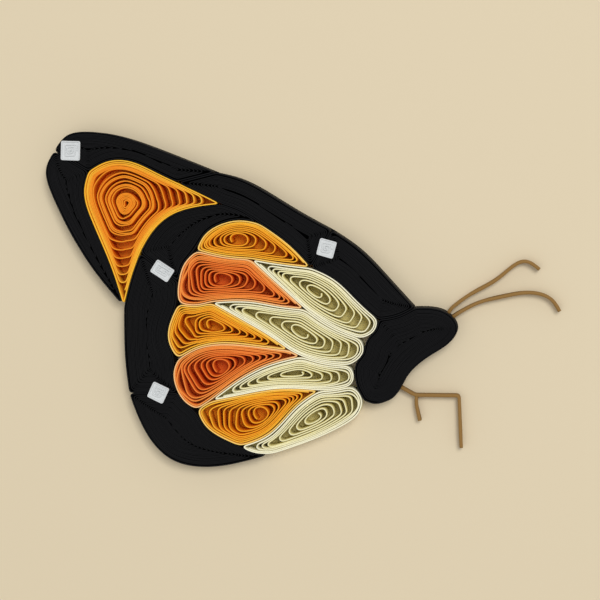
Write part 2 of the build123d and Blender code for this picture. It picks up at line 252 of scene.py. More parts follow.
# %% Seams of the cream coils and the body
cream_1_2 = curve(orange_2_tip, (-7.2, 0.9), root_1)
cream_2_3 = curve(orange_4_tip, (-7.8, -2.1), root_2)
cream_3_4 = curve(orange_5_tip, (-6.8, -4.3), root_3)
cream_1_end = curve(armpit, (-3.5, 0.6), root_1)
cream_2_end = curve(root_1, (-4.4, -1.0), root_2)
cream_3_end = curve(root_2, (-5.2, -3.2), root_3)
cream_4_top = curve(root_3, (-4.8, -4.5), root_4)
cream_4_edge = curve(root_4, (-4.7, -6.0), (-6.2, -7.3), (-8.9, -8.6), skirt_end)
tail_seam = curve(root_4, tail)
belly_edge = curve(
    tail, (-2.0, -4.9), (-0.9, -3.2), (1.2, -1.3), (2.5, -0.4), (3.2, 0.8), (2.6, 1.9), neck
)
print("the body's free side is", round(run_along(belly_edge)[-1], 1), "mm long")

# %% [markdown]
# ## From seams to one outline
# The outline of a coil is a ring of seams. They could be typed once more, the right way round, but
# turning each seam until it meets the last one keeps the pattern in one place.


# %% From seams to one closed outline
outline_step = 0.16


def joined(*seams, notches=(), bridge=0.45):
    """One closed outline, anticlockwise, from seams that meet end to end, either way round.

    Each seam is turned so that it starts where the last one ended. The signed area, half the sum of
    each place crossed with the next, tells the sense. A strip bridges a notch between two neighbours,
    so near a notch the places are left out, and the corners of the bridge are rounded.
    """
    route = [seams[0]]
    for piece in seams[1:]:
        meets = np.allclose(piece[0], route[-1][-1])
        route.append(piece if meets else piece[::-1])
    points = np.vstack([piece[:-1] for piece in route])
    x, y = points.T
    if np.sum(x * np.roll(y, -1) - y * np.roll(x, -1)) < 0:
        points = np.roll(points[::-1], 1, axis=0)
    for notch in notches:
        points = points[lengths(points - notch) > bridge]
    points = evenly(np.vstack([points, points[:1]]), outline_step)[:-1]
    for notch in notches:
        near = np.clip(2 - lengths(points - notch) / (2 * bridge), 0, 1)[:, None]
        points = points + (soften(points, reach=5, closed=True) - points) * near
    return points


cell_outline = joined(cell_heel[::-1], cell_hollow, cell_shoulder, cell_top, cell_left)
print("the outline of the fore wing's cell has", len(cell_outline), "places")

# %% [markdown]
# ## Turns that follow the outline
# The outer turns of a coil lie just inside its outline, each one layer further in than the last.
# Moving each place inwards along its normal is simple, but in a pinched tip the moved line crosses
# itself. So a moved place is kept only where it is no nearer to any part of the outline than the
# distance it was moved. A black coil is wound full, so all of its turns are made this way.


# %% A line moved inwards
def moved_in(outline, distance, slack=0.97):
    """Each place of the outline plus its normal times a distance, and whether that place is allowed.

    It is projected on every edge of the outline at once. It is allowed if it is as far from the
    nearest one as it was moved, but for a little slack.
    """
    ahead = np.roll(outline, -1, axis=0)
    behind = np.roll(outline, 1, axis=0)
    along = unit(ahead - behind)
    moved = outline + np.column_stack([-along[:, 1], along[:, 0]]) * distance[:, None]
    side = ahead - outline
    reach = moved[:, None] - outline[None]
    share = np.sum(reach * side, axis=2) / np.sum(side * side, axis=1)
    nearest = outline + side * np.clip(share, 0, 1)[:, :, None]
    away = lengths(moved[:, None] - nearest).min(axis=1)
    return moved, away > slack * distance


# %% The outer turn, and a spiral that moves on inwards
ring_step = 0.12
fewest_places = 5


def outer_ring(outline):
    """The closed outer turn: the outline moved in by the outset, walked in equal steps."""
    moved, kept = moved_in(outline, np.full(len(outline), outset))
    ring = moved[kept]
    ring = evenly(np.vstack([ring, ring[:1]]), ring_step)[:-1]
    ring = soften(ring, reach=2, closed=True)
    return np.column_stack([ring, np.zeros(len(ring))])


def turns_along(outline, last, gaps=(), gap=0):
    """A spiral of several turns along the outline: its distance from the outline grows all the time.

    The distance is the outset, plus one layer for every turn, plus a gap that opens over the turn
    after each number in gaps. A place stays only if the next half layer has room too. The columns
    are x, y and the turns counted so far.
    """
    share = np.arange(len(outline)) / len(outline)
    found = []
    for count in range(1, last):
        progress = count + share
        opened = sum(np.clip(progress - start, 0, 1) for start in gaps) * gap
        distance = outset + progress * layer + opened
        moved, kept = moved_in(outline, distance)
        kept &= moved_in(outline, distance + layer / 2)[1]
        if kept.sum() < fewest_places:
            break
        found.append(np.column_stack([moved, progress])[kept])
    return np.vstack(found)


print("the cell's outer turn is", round(run_along(outer_ring(cell_outline))[-1], 1), "mm long")

# %% [markdown]
# ## The turns inside
# Inside the first turn, a pressed coil has one habit: its turns lie close together along the two long
# sides, and each one stops a little short of the one outside it, at both ends. The rounded ends
# are the little dashes that march along the middle of a quilled petal.
#
# So a coil gets a middle line, and a place in it is a distance along that line and one to the side.
# The width on each side comes from cutting the outline with lines square to the middle line.


# %% The middle line of a coil, and its walls
def middle_and_walls(outline, guide, stations=200, rounds=4, nowhere=99, window=23):
    """The middle line of an outline, its normals, its run and the width on its left and its right.

    At each station the outline's places are split into a part along the tangent and a part to the
    side. Where the part along changes sign, the outline crosses the station's normal. The line
    is then shifted by half the difference of its two widths, smoothed, and measured again.
    """
    line = curve(*guide, step=0.05)
    share = (1 - np.cos(np.linspace(0, np.pi, stations))) / 2
    bell = np.hanning(window)[1:-1]
    reach = len(bell) // 2
    for _ in range(rounds):
        run = run_along(line)
        place = read_off(share * run[-1], run, line)
        tangent = unit(np.gradient(place, axis=0))
        normal = np.column_stack([-tangent[:, 1], tangent[:, 0]])
        away = outline[None] - place[:, None]
        along = np.sum(away * tangent[:, None], axis=2)
        aside = np.sum(away * normal[:, None], axis=2)
        after = np.roll(along, -1, axis=1)
        crosses = along * after < 0
        part = along / np.where(crosses, along - after, 1)
        cut = aside + part * (np.roll(aside, -1, axis=1) - aside)
        left = np.where(crosses & (cut > 0), cut, nowhere).min(axis=1)
        right = np.where(crosses & (cut < 0), -cut, nowhere).min(axis=1)
        left[left == nowhere] = 0
        right[right == nowhere] = 0
        calm = np.sin(np.pi * share) ** 0.5
        shift = (left - right) / 2 * calm
        shift = np.convolve(np.pad(shift, reach, mode="edge"), bell / bell.sum(), mode="valid") * calm
        line = place + normal * shift[:, None]
    return place, normal, share * run[-1], left, right


# %% [markdown]
# Now the strip itself. One turn goes along the right side, round the far end, back along the left side
# and round the tip, so the cosine of the angle says how far along it is, and the sine says on which
# side. Every further turn lies one layer further in. A random line that wanders slowly keeps the ends
# from being too regular, as no hand winds two turns alike.


# %% A line that wanders
def wander(rng, count, every, size):
    """A smooth random line: one random number every so many places, joined by cosine steps."""
    knots = rng.uniform(-size, size, max(3, count // every + 3))
    place = np.arange(count) / every
    left = place.astype(int)
    part = (1 - np.cos(np.pi * (place - left))) / 2
    return knots[left] * (1 - part) + knots[left + 1] * part


# %% Winding a strip into its outline
places_a_turn = 160
steepest_wall = 2.5
least_room = 0.06
looseness, settled = 0.12, 0.25
tip_layers, tip_fall = 1.3, 1.3
bluntness, eye_rounding = 0.22, 0.58
leaving_tip = 1.6


def turns_inside(outline, guide, eye, core, turns, slant, drawn_in, seed, tip_gap=0.1, spare=0.6):
    """The path of a strip from its second layer to the eye, and its progress in turns.

    Along: the eye plus the cosine of the angle times the reach, which falls to the core's half length,
    faster at first on the tip's side, and never passes the place where the walls leave no room. Aside:
    the wall's width less one layer for every turn, times a small power of the sine, which makes the
    ends blunt, and rounder towards the eye. The inner turns are drawn in from the walls by a share.
    The layer before them follows the outline, up to the place where they leave the tip.
    """
    rng = np.random.default_rng(seed)
    place, normal, run, left, right = middle_and_walls(outline, guide)
    slope = np.minimum(np.hypot(1, np.gradient((left + right) / 2, run)), steepest_wall)
    slope = soften(slope[:, None], reach=9)[:, 0]
    middle = np.argmin(lengths(place - eye))
    width = np.minimum(left, right) / slope
    toward_tip = np.minimum.accumulate(width[: middle + 1][::-1])[::-1]
    toward_end = np.minimum.accumulate(width[middle:])

    first = 2
    last = turns + spare
    angle = np.linspace(2 * np.pi * first, 2 * np.pi * last, places_a_turn * turns)
    progress = angle / (2 * np.pi)
    share = (progress - first) / (last - first)
    need = outset + tip_gap + tip_layers * progress * layer
    tip_room = run[middle] - np.interp(need, toward_tip, run[: middle + 1])
    end_room = np.interp(need, toward_end[::-1], run[middle:][::-1]) - run[middle]
    fall = 1 - (progress - first) / (last - first + spare)
    loose = wander(rng, len(angle), places_a_turn // 2, looseness) * np.minimum(1, share / settled)
    tip_reach = np.minimum(tip_room, core + (run[middle] - core) * fall**tip_fall + loose)
    end_reach = np.minimum(end_room, core + (run[-1] - run[middle] - core) * fall + loose)
    cosine = -np.cos(angle)
    sine = -np.sin(angle)
    along = run[middle] + cosine * np.where(cosine < 0, tip_reach, end_reach) + slant * sine * (1 - share)
    wall = np.where(sine > 0, np.interp(along, run, left), np.interp(along, run, right))
    room = np.maximum(wall - (outset + progress * layer) * np.interp(along, run, slope), least_room)
    curl = 1 - drawn_in * share**2
    rounding = bluntness + eye_rounding * share**3
    aside = np.sign(sine) * np.abs(sine) ** rounding * room * curl
    outward = unit(read_off(along, run, normal))
    inner = np.column_stack([read_off(along, run, place) + outward * aside[:, None], progress])

    outer = turns_along(outline, 2)
    start = np.linalg.norm(inner[0, :2] - outline[0]) + tip_gap
    late = outer[:, 2] > leaving_tip
    past_start = lengths(outer[:, :2] - outline[0]) > start
    return np.vstack([outer[~late | past_start], inner])


# %% [markdown]
# ## A strip of paper on edge
# A path becomes a strip when a thin upright profile is carried along it. The profile's top and bottom
# have tiny bevels, like the soft cut edge of paper. The height and the lean change a little along
# the strip, because hand-rolled coils are never quite level.


# %% The profile of a strip
def strip_profile(thickness, width, bevel=0.025, slant=0.7, waist=0.6):
    """Places round a strip's section, anticlockwise seen along the path: across and up, in millimetres.

    It is an upright oblong whose corners are cut by a bevel, with one more row above its middle.
    """
    half = thickness / 2
    slim = half - slant * bevel
    across = [half, half, half, slim, -slim, -half, -half, -half, -slim, slim]
    up = [bevel, waist * width, width - bevel, width, width, width - bevel, waist * width, bevel, 0, 0]
    return np.array(across), np.array(up)


# %% The strip as a mesh
lean_every = 14
height_every = 22
ripple_every = 7
crest = 0.67
inside_bend = 0.9
fade_power = 0.3


def strip_surface(path, closed, thickness, width, seed, lean=0.02, drop=0.05):
    """Vertices and faces of a strip. The path's columns are x, y and turns counted so far.

    A vertex is the path's place, plus the profile's number across times the unit normal, plus the
    profile's number up along z. On the inside of a bend, across is held under the bend's radius. The
    top is sunk by the crest of its random waves, so that it never stands too high.
    """
    rng = np.random.default_rng(seed)
    count = len(path)
    spot = path[:, :2]
    if closed:
        step = np.roll(spot, -1, axis=0) - np.roll(spot, 1, axis=0)
    else:
        step = np.gradient(spot, axis=0) * 2
    length = lengths(step)
    tangent = step / length[:, None]
    right = np.column_stack([tangent[:, 1], -tangent[:, 0]])
    after = np.roll(tangent, -1, axis=0)
    before = np.roll(tangent, 1, axis=0)
    turning = (before[:, 0] * after[:, 1] - before[:, 1] * after[:, 0]) / np.maximum(length, 1e-6)
    if not closed:
        turning[[0, -1]] = 0
    radius = inside_bend / np.maximum(np.abs(turning), 1e-6)
    across, up = strip_profile(thickness, width)
    half = thickness / 2
    inside = np.where(across > 0, turning[:, None] < 0, turning[:, None] > 0)
    scale = np.where(inside, np.minimum(half, radius)[:, None], half) / half
    fade = np.sin(np.pi * np.linspace(0, 1, count)) ** fade_power if closed else 1
    tilt = wander(rng, count, lean_every, lean) * fade
    waves = wander(rng, count, height_every, drop / 2) + wander(rng, count, ripple_every, drop / 6)
    low = waves * fade - drop * crest
    sideways = across * scale + tilt[:, None] * (up / width - 0.5)
    height = up + low[:, None] * (up > width / 2)
    places = np.empty((count, len(across), 3))
    places[:, :, :2] = spot[:, None] + right[:, None] * sideways[:, :, None]
    places[:, :, 2] = height
    hop = len(across)
    total = count * hop
    ring = np.arange(hop)
    row = np.arange(count if closed else count - 1)[:, None] * hop
    here = (row + ring).ravel()
    beside = (row + np.roll(ring, -1)).ravel()
    faces = np.column_stack([here, (here + hop) % total, (beside + hop) % total, beside]).tolist()
    if not closed:
        faces.append(ring.tolist())
        faces.append((total - hop + ring[::-1]).tolist())
    tone = np.repeat(path[:, 2], hop)
    return places.reshape(-1, 3), faces, tone


# %% [markdown]
# ## Shader maths as plain expressions
# A node graph is a sum written as boxes. This small class wraps a node's output, so that
# `1 - mask * 0.5` adds the boxes by itself, and one method makes every other kind of node.


# %% Sockets that can be added and multiplied
class Thread:
    """The output of a node. Adding or multiplying it makes a Math node."""

    def __init__(self, sheet, socket):
        self.sheet = sheet
        self.socket = socket

    def reckon(self, operation, first, second):
        made = self.sheet.node(
            "ShaderNodeMath", {"operation": operation}, {"Value": first, "Value_001": second}
        )
        return made["Value"]

    def __add__(self, other):
        return self.reckon("ADD", self, other)

    def __sub__(self, other):
        return self.reckon("SUBTRACT", self, other)

    def __rsub__(self, other):
        return self.reckon("SUBTRACT", other, self)

    def __mul__(self, other):
        return self.reckon("MULTIPLY", self, other)

    __radd__ = __add__
    __rmul__ = __mul__


# %% A material and its nodes
class Sheet:
    """A material being made, with its Principled shader."""

    def __init__(self, name):
        self.material = bpy.data.materials.new(name)
        self.material.use_nodes = True
        self.tree = self.material.node_tree
        self.shader = self.tree.nodes["Principled BSDF"]

    def feed(self, node, sockets):
        """Gives a node's inputs, named by their identifiers, a link or a plain value."""
        inputs = {socket.identifier: socket for socket in node.inputs}
        for name, value in sockets.items():
            if isinstance(value, Thread):
                self.tree.links.new(value.socket, inputs[name])
            else:
                inputs[name].default_value = value

    def node(self, kind, settings, sockets):
        """A new node with its settings first, then its inputs. Returns its outputs by identifier."""
        made = self.tree.nodes.new(kind)
        for name, value in settings.items():
            setattr(made, name, value)
        self.feed(made, sockets)
        return {socket.identifier: Thread(self, socket) for socket in made.outputs}

    def blend(self, factor, first, second):
        """Two colours mixed by a factor."""
        sockets = {"Factor_Float": factor, "A_Color": first, "B_Color": second}
        return self.node("ShaderNodeMix", {"data_type": "RGBA"}, sockets)["Result_Color"]

    def ramp(self, value, low, high):
        """A value brought to 0 at low and 1 at high, smoothly and no further."""
        settings = {"interpolation_type": "SMOOTHSTEP"}
        sockets = {"Value": value, "From Min": low, "From Max": high}
        return self.node("ShaderNodeMapRange", settings, sockets)["Result"]


# %% Colours as they look on a screen
def ink(red, green, blue):
    """A colour as it looks on a screen, from 0 to 1, turned to the linear numbers of a shader."""
    shown = np.array([red, green, blue])
    linear = np.where(shown < 0.04045, shown / 12.92, ((shown + 0.055) / 1.055) ** 2.4)
    return (*linear.tolist(), 1)


# %% [markdown]
# ## Dyed paper
# Quilling paper is dyed through, matt, and slightly fuzzy. Close up it has short fibres, faint clouds
# in the dye, and a cut edge that catches more light than the face, which is painted in as a paler tone
# near the top of each strip, a painted highlight. The turn count, kept on the mesh, lets the rim of a
# coil differ from its heart, partly as two-tone strips and partly as painted highlight and shade. A
# picture of paper would need a flat layout of every strip. Noise in the object's own coordinates needs
# none.


# %% A paper material
film_turn = 30
fibre_scale, cloud_scale = 8500, 420
faint, strong = 0.35, 0.7
cut_from, cut_to = 0.00184, 0.00192
rim_from, rim_to = 0.6, 1.2
film_from = 20
cloud_turns, fibre_shade = 0.8, 0.4
fibre_roughness, cut_relief = 0.12, 0.2


def dyed_paper(name, rim, band, heart, between, edge=0.25, cloud=0.2, roughness=0.62, specular=0.2,
               fuzz=0.3, painted_gap_light=None):
    """Paper whose outermost turn has one dye, and the rest goes from band to heart between two turns.

    The rim's paler tone is partly the strip's own second colour and partly painted highlight on the outer
    turn, and the deeper heart is partly a darker part of the strip and partly painted shade. The clouds
    move that change by up to 0.4 of a turn. Edge highlight and cloud say how far the cut edge goes back
    to the band's colour, a painted highlight on the top of each strip, and the clouds on to the heart's.
    The film of glue has the heart's colour, unless it is given its own painted gap light.
    """
    sheet = Sheet(name)
    place = sheet.node("ShaderNodeTexCoord", {}, {})["Object"]
    height = sheet.node("ShaderNodeSeparateXYZ", {}, {"Vector": place})["Z"]
    turn = sheet.node("ShaderNodeAttribute", {"attribute_name": "turn"}, {})["Fac"]
    fibre = sheet.node(
        "ShaderNodeTexNoise", {}, {"Vector": place, "Scale": fibre_scale, "Detail": 3, "Roughness": 0.6}
    )["Fac"]
    clouds = sheet.node(
        "ShaderNodeTexNoise", {}, {"Vector": place, "Scale": cloud_scale, "Detail": 2}
    )["Fac"]
    # Band to heart: partly a darker part of the strip, partly painted shade deeper in the coil.
    depth = sheet.ramp(turn + clouds * cloud_turns - cloud_turns / 2, *between)
    dye_and_painted_light = sheet.blend(depth, band, heart)
    dye_and_painted_light = sheet.blend(sheet.ramp(clouds, faint, strong) * cloud, dye_and_painted_light, heart)
    dye_and_painted_light = sheet.blend(sheet.ramp(fibre, faint, strong) * (fibre_shade * fuzz), dye_and_painted_light, (0, 0, 0, 1))
    cut = sheet.ramp(height, cut_from, cut_to)
    # Painted highlight: near the top of each strip, at its cut edge, the colour goes back to the band's
    # paler tone.
    dye_and_painted_light = sheet.blend(cut * edge, dye_and_painted_light, band)
    # The outermost turn's rim colour: partly the strip's own paler part, partly painted highlight where it
    # stands in the light.
    dye_and_painted_light = sheet.blend(sheet.ramp(turn, rim_from, rim_to), rim, dye_and_painted_light)
    # Painted light of the gaps: the film at the foot of a coil gets a colour for the glow or shade deep
    # between the walls.
    if painted_gap_light:
        dye_and_painted_light = sheet.blend(sheet.ramp(turn, film_from, film_turn), dye_and_painted_light, painted_gap_light)
    relief = fibre + cut * cut_relief
    bump = sheet.node("ShaderNodeBump", {}, {"Strength": fuzz, "Distance": 0.00002, "Height": relief})
    rough = roughness + fibre * fibre_roughness
    sheet.feed(
        sheet.shader,
        {"Base Color": dye_and_painted_light, "Roughness": rough, "Normal": bump["Normal"], "Specular IOR Level": specular},
    )
    return sheet.material


# %% [markdown]
# The dyes are written as they look on a screen. The strips are two-toned, with a paler rim and a deeper
# heart, and light is painted on top of that: the outermost turn stands in the light, so it gets the
# palest tone as painted highlight, and the heart gets the deepest as painted shade, because there light
# goes from wall to wall and takes up dye.

# %% The dyes, and the papers
# Each heart colour here (tangerine, amber, rust, straw, coal) is deeper than its rim partly as dye and
# partly as painted shade.
pale_gold = ink(0.98, 0.81, 0.42)
golden = ink(0.98, 0.74, 0.20)
amber = ink(0.96, 0.60, 0.07)
tangerine = ink(0.94, 0.50, 0.07)
# Painted glow: the bright bounce light deep in the golden cell's gaps, put on its film.
painted_gap_glow = ink(1.0, 0.58, 0.12)
peach = ink(0.98, 0.77, 0.52)
coral = ink(0.97, 0.60, 0.26)
rust = ink(0.93, 0.43, 0.12)
ivory = ink(0.97, 0.95, 0.83)
straw = ink(0.94, 0.90, 0.65)
# Painted shade: the dim, tinted light deep in the cream petals' gaps, put on their film.
painted_gap_shade = ink(0.86, 0.81, 0.54)
soot = ink(0.032, 0.034, 0.045)
coal = ink(0.02, 0.02, 0.027)
chalk = ink(0.83, 0.84, 0.84)
bark = ink(0.55, 0.41, 0.20)
umber = ink(0.43, 0.30, 0.14)

golden_cell_paper = dyed_paper("golden_cell_paper", golden, golden, tangerine, (1.5, 5), painted_gap_light=painted_gap_glow)
golden_petal_paper = dyed_paper("golden_petal_paper", pale_gold, golden, amber, (1, 4))
orange_paper = dyed_paper("orange_paper", peach, coral, rust, (1, 7), edge=0.2)
cream_paper = dyed_paper("cream_paper", ivory, ivory, straw, (1, 4), edge=0.3, roughness=0.66, painted_gap_light=painted_gap_shade)
black_paper = dyed_paper(
    "black_paper", soot, soot, coal, (0.5, 3), edge=0.3, cloud=0.3, roughness=0.6, specular=0.15
)
white_paper = dyed_paper(
    "white_paper", chalk, chalk, chalk, (0, 1), edge=0, cloud=0, roughness=0.6, specular=0.3, fuzz=0.12
)
brown_paper = dyed_paper(
    "brown_paper", bark, bark, umber, (0, 1), edge=0, cloud=0.6, roughness=0.6, specular=0.3
)
print("papers:", len(bpy.data.materials))

# %% [markdown]
# ## A film of glue
# A brush of glue on the back of a coil locks its turns and dries to a thin film between them. Its colour
# is painted light: the coloured glow or shade that light takes on deep in the gaps, as it goes from wall
# to wall. Without it, light would fall through to the table.


# %% The film of dried glue
def glue_film(outline, low=0.03, high=0.07):
    """The film of dried glue that locks a coil from below: its outline at two heights, closed.

    Its turn count is higher than any strip's, so the paper's material can tell it apart and paint the
    light of the gaps on it.
    """
    count = len(outline)
    foot = np.column_stack([outline, np.full(count, low)])
    top = np.column_stack([outline, np.full(count, high)])
    here = np.arange(count)
    after = np.roll(here, -1)
    faces = np.column_stack([here, after, after + count, here + count]).tolist()
    faces.append((here + count).tolist())
    faces.append(here[::-1].tolist())
    return np.vstack([foot, top]), faces, np.full(2 * count, float(film_turn))


# %% [markdown]
# ## Winding the coils
# A coil is one mesh: its closed outer turn, the film, and the strip or strips inside. It takes the
# place of one solid of the imported model, which is hidden, and rides on the root body.


# %% One mesh for a coil
def added(name, data):
    """A new object in the scene, made from its data."""
    thing = bpy.data.objects.new(name, data)
    bpy.context.scene.collection.objects.link(thing)
    return thing


def make_piece(name, parts, material):
    """One mesh from several (vertices, faces, turns) parts, in metres, as a piece of the frame."""
    vertices = np.vstack([part[0] for part in parts]) / 1000
    shift = np.cumsum([0] + [len(part[0]) for part in parts])
    faces = [[corner + start for corner in face] for part, start in zip(parts, shift) for face in part[1]]
    mesh = bpy.data.meshes.new(name)
    mesh.from_pydata(vertices.tolist(), [], faces)
    mesh.polygons.foreach_set("use_smooth", [len(face) == 4 for face in faces])
    turn = mesh.attributes.new("turn", "FLOAT", "POINT")
    turn.data.foreach_set("value", np.concatenate([part[2] for part in parts]).astype(np.float32))
    mesh.materials.append(material)
    mesh.validate()
    mesh.update()
    piece = added(name, mesh)
    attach(piece, "root")
    return piece


# %% One coil from its outline
winding_step = 0.08
wall_step = 0.16
most_turns = 40
seed_step = 50


def wind_coil(node, material, outline, paths, seed, reach, lean):
    """A coil that stands for a CAD node: a closed outer turn, the film and the strips wound inside."""
    ring = outer_ring(outline)
    parts = [strip_surface(ring, True, paper, strip_width, seed), glue_film(outline)]
    length = len(ring) * ring_step
    for number, path in enumerate(paths, start=1):
        path = evenly(soften(evenly(path, winding_step), reach), wall_step)
        parts.append(strip_surface(path, False, paper, strip_width, seed + seed_step * number, lean=lean))
        length += len(path) * wall_step
    piece = make_piece(node.replace("coil", "strip"), parts, material)
    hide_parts(node)
    print(node, round(paths[0][-1, 2]) + 1, "turns,", round(length), "mm of strip")


# %% [markdown]
# ## The fore wing's cell
# The largest coil was pinched twice, so it has two long horns and a round heart high up. In the horns
# its turns end as short arcs, and round the heart three of them stand open as rings. Two tips that
# don't face each other share no middle line. So the turns follow the outline, as in a full coil, and
# are then held within a reach of the heart.


# %% The fore wing's golden cell
longest_reach, shortest_reach = 7.2, 0.3
horn_step, heart_step, ring_room = 0.62, 0.11, 1.3
lengthening = 0.1


def round_hearted(node, material, outline, gaps, gap, seed):
    """A coil with two long horns, where its turns end as arcs round the heart, each shorter than the last.

    A place further from the heart than the reach is brought in to it. The reach falls fast over the
    turns before the first gap, then slowly, and by a step at each gap, which leaves an open ring there.
    It is lengthened a little towards the lower tip.
    """
    path = turns_along(outline, most_turns, gaps, gap)
    heart = path[-1, :2]
    turn = path[:, 2]
    horn_turns = gaps[0]
    opened = sum(np.clip(turn - start, 0, 1) for start in gaps)
    reach = longest_reach - horn_step * np.minimum(turn, horn_turns)
    reach = reach - heart_step * np.maximum(turn - horn_turns, 0) - ring_room * gap * opened
    away = path[:, :2] - heart
    radius = lengths(away) + 1e-6
    reach = reach * (1 - lengthening * np.minimum(away[:, 1] / radius, 0))
    spot = heart + away * (np.minimum(radius, reach) / radius)[:, None]
    path = np.column_stack([spot, turn])[reach > shortest_reach]
    wind_coil(node, material, outline, [path], seed, reach=5, lean=0.03)


round_hearted(
    "forewing_cell_coil", golden_cell_paper, cell_outline,
    gaps=(7, 10, 13.5), gap=0.3, seed=3,
)

# %% [markdown]
# ## The orange petals
# A petal is a coil that sprang open a little and was pinched to a drop. A guide leads its middle line
# from the pinched tip to the other end. Its heart was pushed aside before it was glued, so each petal
# has its own eye, core and slant. One petal, copied and stretched, would be easier, but its strip
# would be thick in one place and thin in the next.


# %% The five orange petals
pinch = 0.6


def petal(node, material, outline, guide, eye, turns, seed, core=0.2, slant=0, drawn_in=0.3,
          second_tip=None):
    """A loose coil, pinched at one end or two, and rounded at its other corners.

    The outline is softened by a share that grows from nothing at the end of a pinch to the whole.
    """
    tips = np.array([outline[0]] if second_tip is None else [outline[0], second_tip])
    away = lengths(outline[:, None] - tips[None]).min(axis=1)
    rounded = np.clip((away - pinch) / (2 * pinch), 0, 1)[:, None]
    outline = outline + (soften(outline, reach=4, closed=True) - outline) * rounded
    inner = turns_inside(outline, guide, eye, core, turns, slant, drawn_in, seed)
    wind_coil(node, material, outline, [inner], seed, reach=4, lean=0.05)


petal(
    "hindwing_orange_coil_1", golden_petal_paper,
    joined(orange_1_end[::-1], orange_1_top, orange_1_2, orange_1_cream_1),
    [shoulder_inner, (-12.0, 7.2), (-15.0, 8.0), (-17.4, 7.5), notch_1],
    (-14.9, 8.0), turns=8, second_tip=notch_1, seed=5,
)
petal(
    "hindwing_orange_coil_2", orange_paper,
    joined(orange_2_cream_1[::-1], orange_1_2, orange_2_left, orange_2_heel, orange_2_3, orange_2_cream_2),
    [orange_2_tip, (-12.5, 3.6), (-16.0, 4.7), (-19.9, 4.9)],
    (-16.2, 4.75), turns=10, core=0.35, slant=0.15, seed=7,
)
petal(
    "hindwing_orange_coil_3", golden_petal_paper,
    joined(orange_3_cream_2[::-1], orange_2_3, orange_3_left, orange_3_4),
    [orange_3_tip, (-13.6, -0.1), (-16.6, 0.9), (-18.9, 0.5), (-20.4, -0.5)],
    (-16.6, 0.9), turns=8, core=0.5, slant=0.15, seed=9,
)
petal(
    "hindwing_orange_coil_4", orange_paper,
    joined(orange_4_cream_2[::-1], orange_3_4, orange_4_left, orange_4_heel, orange_4_5, orange_4_cream_3),
    [(-10.1, -1.35), (-13.2, -1.6), (-16.7, -2.6), (-20.1, -4.2)],
    (-16.4, -2.2), turns=9, slant=-0.15, seed=11,
)
petal(
    "hindwing_orange_coil_5", golden_petal_paper,
    joined(orange_5_cream_3[::-1], orange_4_5, orange_5_left, orange_5_cream_4),
    [orange_5_tip, (-10.8, -5.4), (-13.2, -6.3), (-17.3, -7.1)],
    (-13.0, -6.2), turns=9, slant=-0.15, seed=13,
)

# %% [markdown]
# ## The cream petals
# These are the same drops in cream paper, with their pinched tips between those of the orange ones.
# Their inner turns are drawn in further from the walls and leave more of the film, painted olive as the
# shade deep in the gaps, to see.

# %% The four cream petals
petal(
    "hindwing_cream_coil_1", cream_paper,
    joined(orange_2_cream_1, cream_1_2, cream_1_end, arm_under, orange_1_cream_1),
    [cream_1_tip, (-10.6, 4.8), (-8.2, 3.5), (-3.8, 0.7)],
    (-8.6, 3.6), turns=8, slant=0.2, drawn_in=0.6, seed=15,
)
petal(
    "hindwing_cream_coil_2", cream_paper,
    joined(orange_3_cream_2, orange_4_cream_2, cream_2_3, cream_2_end, cream_1_2, orange_2_cream_2),
    [cream_2_tip, (-13.0, 1.7), (-9.6, 0.5), (-4.6, -1.2)],
    (-9.6, 0.4), turns=8, slant=0.2, drawn_in=0.6, seed=17,
)
petal(
    "hindwing_cream_coil_3", cream_paper,
    joined(orange_5_cream_3, cream_3_4, cream_3_end, cream_2_3, orange_4_cream_3),
    [cream_3_tip, (-13.8, -4.0), (-10.0, -3.1), (-5.3, -3.2)],
    (-10.3, -3.1), turns=7, core=0.4, slant=-0.2, drawn_in=0.5, seed=19,
)
petal(
    "hindwing_cream_coil_4", cream_paper,
    joined(skirt_seam, cream_4_edge, cream_4_top, cream_3_4, orange_5_cream_4),
    [notch_5, (-11.4, -8.4), (-8.4, -6.6), (-4.6, -5.6)],
    (-8.5, -6.5), turns=8, slant=-0.2, drawn_in=0.6, seed=21,
)

# %% [markdown]
# ## The black edge
# Black paper hardly shows its turns, so a solid block would nearly do. But the light picks out a few
# cut edges and the seams, so the coils are wound in full, inwards until no room is left.


# %% A coil that is wound full
def parted(path, hop=0.6, left_out=0.02, fewest=12):
    """The path as one or more strips: past a waist it hops to and fro, so it is cut at every hop.

    A hop is long, and passes a fair share of the outline whose places were all dropped. Each stretch
    goes on from the strip whose end is nearest to its start, or begins a new one. Scraps of only a few
    places are dropped.
    """
    step = np.diff(path, axis=0)
    far = (lengths(step[:, :2]) > hop) & (step[:, 2] > left_out)
    strips = []
    for stretch in np.split(path, np.flatnonzero(far) + 1):
        ends = [np.linalg.norm(strip[-1][-1, :2] - stretch[0, :2]) for strip in strips]
        if ends and min(ends) < hop:
            strips[int(np.argmin(ends))].append(stretch)
        else:
            strips.append([stretch])
    joined_up = [np.vstack(strip) for strip in strips]
    return [strip for strip in joined_up if len(strip) > fewest]


def full_coil(node, seed, *seams, notches=()):
    """A black coil whose turns follow its outline all the way in, as one strip on each side of a waist."""
    outline = joined(*seams, notches=notches)
    paths = parted(turns_along(outline, most_turns))
    wind_coil(node, black_paper, outline, paths, seed, reach=3, lean=0.02)


# %% The black edge of the fore wing
full_coil("forewing_top_coil", 23, crown_seam, cell_top, crown_joint, crown_edge)
full_coil("forewing_side_coil", 25, cell_left, crown_joint, side_edge)
full_coil(
    "costal_coil_outer", 27, crown_seam[::-1], shoulder_edge, shoulder_joint, orange_1_end, shoulder_under,
    cell_shoulder,
)
full_coil("costal_coil_inner", 29, shoulder_joint, arm_under, arm_joint, arm_edge)

